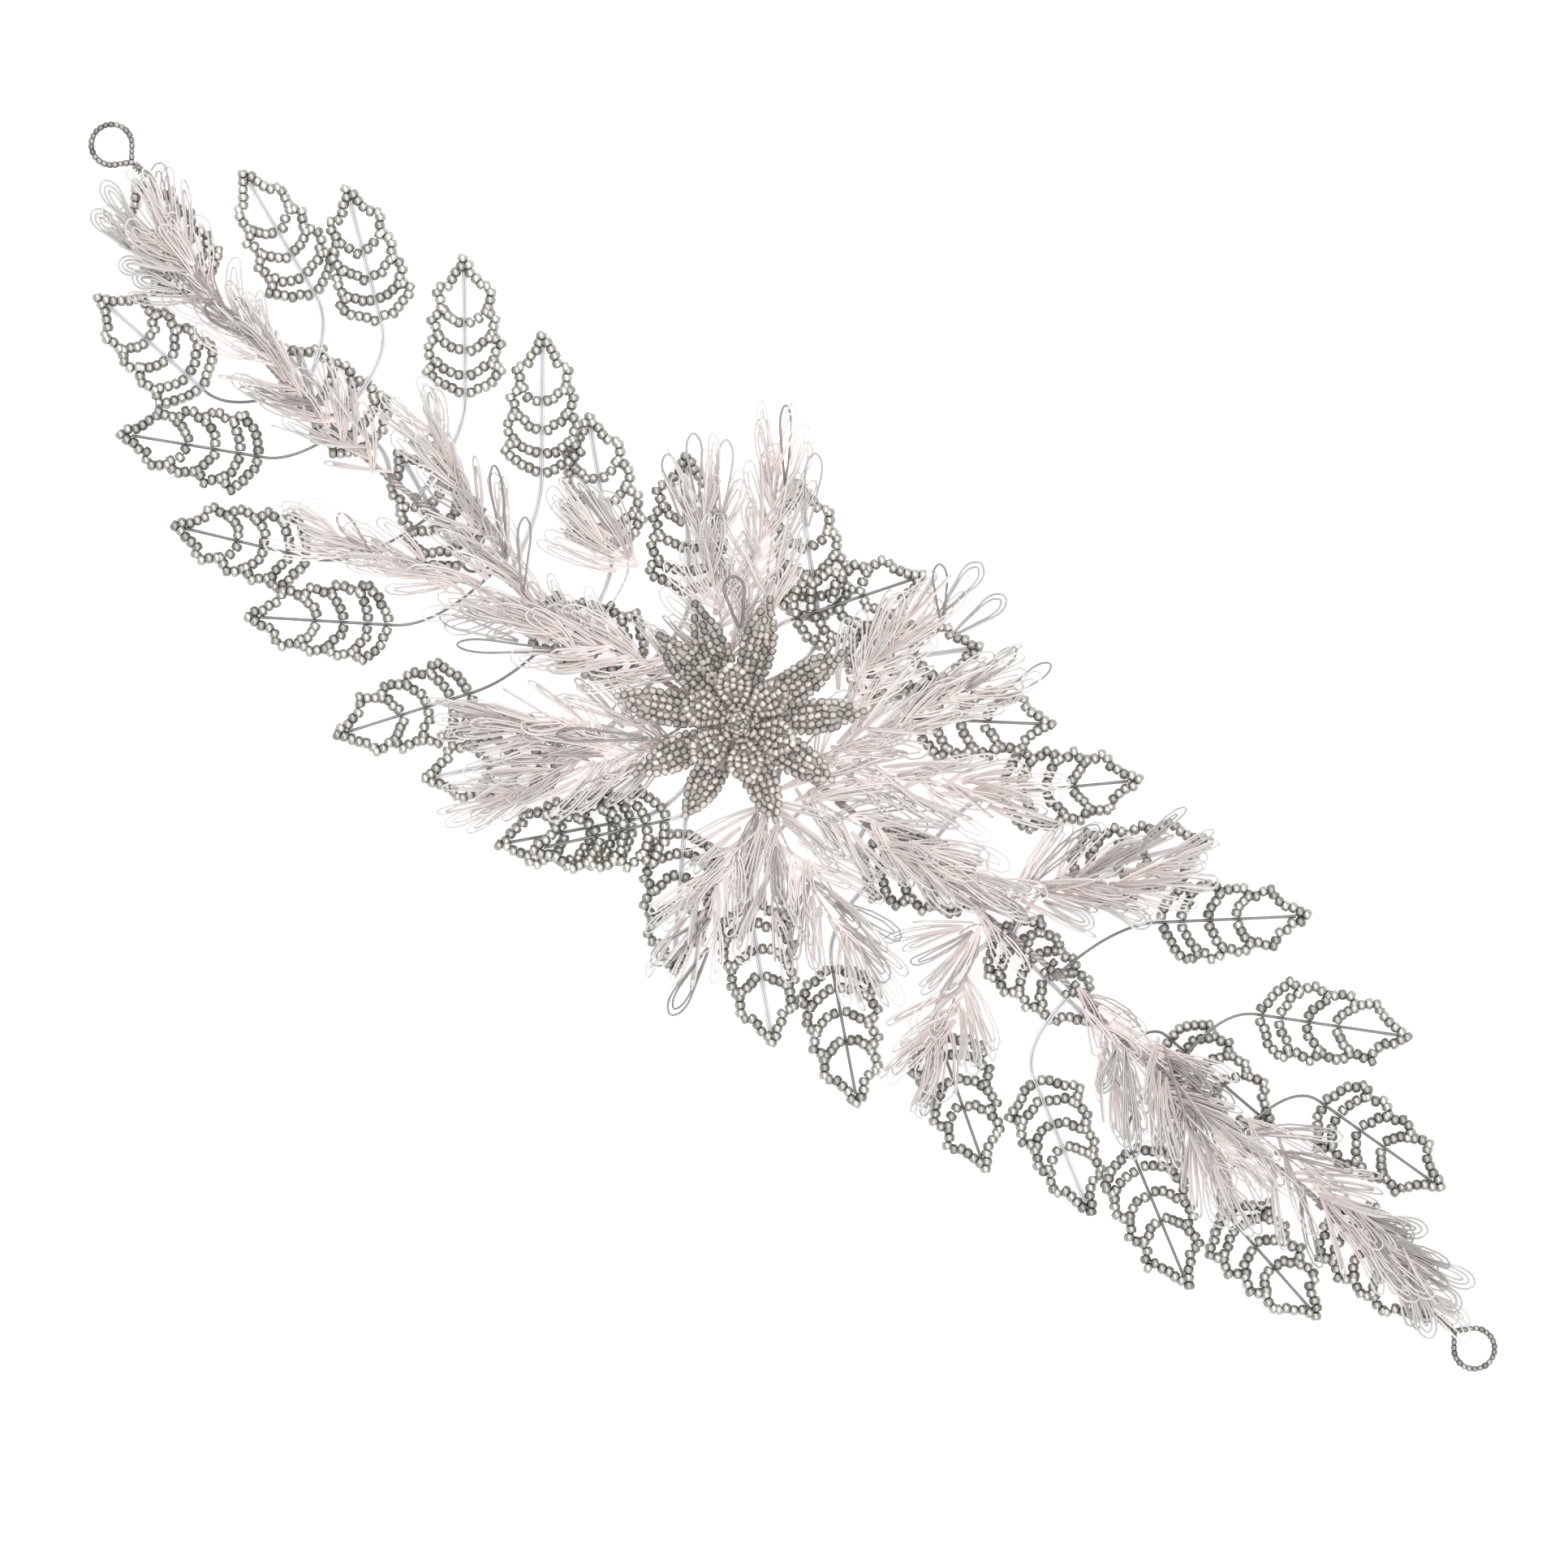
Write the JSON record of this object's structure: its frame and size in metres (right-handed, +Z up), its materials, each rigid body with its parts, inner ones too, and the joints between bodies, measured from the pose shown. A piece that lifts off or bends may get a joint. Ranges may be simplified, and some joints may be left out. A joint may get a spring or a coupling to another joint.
{
  "type": "hair vine",
  "caption": "Bridal hair vine lying flat: a wire stem with an eye at each end, serrated beaded leaves, feathery wire-loop sprays and a beaded flower",
  "frame": {"origin": "on the plane that the leaves lie on, midway between the two eyes and under their line", "axes": "+X along the vine, from the end at the picture's upper left to the end at its lower right; +Y across the vine, towards the picture's upper right; +Z up, from the surface to the viewer"},
  "size_m": [0.31, 0.0921, 0.0183],
  "materials": {
    "stem_wire": "bright silver plated wire",
    "leaf_beads": "silver lined crystal seed beads",
    "leaf_wire": "bright silver plated wire",
    "spray_wire": "bright silver wire with a pale rose cast",
    "loop_beads": "silver lined crystal seed beads",
    "flower_beads": "silver lined crystal seed beads",
    "button_beads": "dark silver lined seed beads"
  },
  "bodies": {
    "root": {"main_stem": "stem_wire", "end_loop_left": "loop_beads", "end_loop_right": "loop_beads", "leaf_01": "leaf_beads", "leaf_02": "leaf_beads", "leaf_03": "leaf_beads", "leaf_04": "leaf_beads", "leaf_05": "leaf_beads", "leaf_06": "leaf_beads", "leaf_07": "leaf_beads", "leaf_08": "leaf_beads", "leaf_09": "leaf_beads", "leaf_10": "leaf_beads", "leaf_11": "leaf_beads", "leaf_12": "leaf_beads", "leaf_13": "leaf_beads", "leaf_14": "leaf_beads", "leaf_15": "leaf_beads", "leaf_16": "leaf_beads", "leaf_17": "leaf_beads", "leaf_18": "leaf_beads", "leaf_19": "leaf_beads", "leaf_20": "leaf_beads", "leaf_21": "leaf_beads", "leaf_22": "leaf_beads", "leaf_23": "leaf_beads", "leaf_24": "leaf_beads", "leaf_25": "leaf_beads", "leaf_26": "leaf_beads", "leaf_27": "leaf_beads", "leaf_28": "leaf_beads", "leaf_29": "leaf_beads", "leaf_30": "leaf_beads", "leaf_31": "leaf_beads", "leaf_32": "leaf_beads", "leaf_33": "leaf_beads", "leaf_34": "leaf_beads", "leaf_35": "leaf_beads", "leaf_36": "leaf_beads", "leaf_37": "leaf_beads", "leaf_38": "leaf_beads", "spray_01": "spray_wire", "spray_02": "spray_wire", "spray_03": "spray_wire", "spray_04": "spray_wire", "spray_05": "spray_wire", "spray_06": "spray_wire", "spray_07": "spray_wire", "spray_08": "spray_wire", "spray_09": "spray_wire", "spray_10": "spray_wire", "spray_11": "spray_wire", "spray_12": "spray_wire", "spray_13": "spray_wire", "spray_14": "spray_wire", "spray_15": "spray_wire", "spray_16": "spray_wire", "outer_petals": "flower_beads", "inner_petals": "flower_beads", "flower_button": "button_beads"}
  },
  "joints": []
}
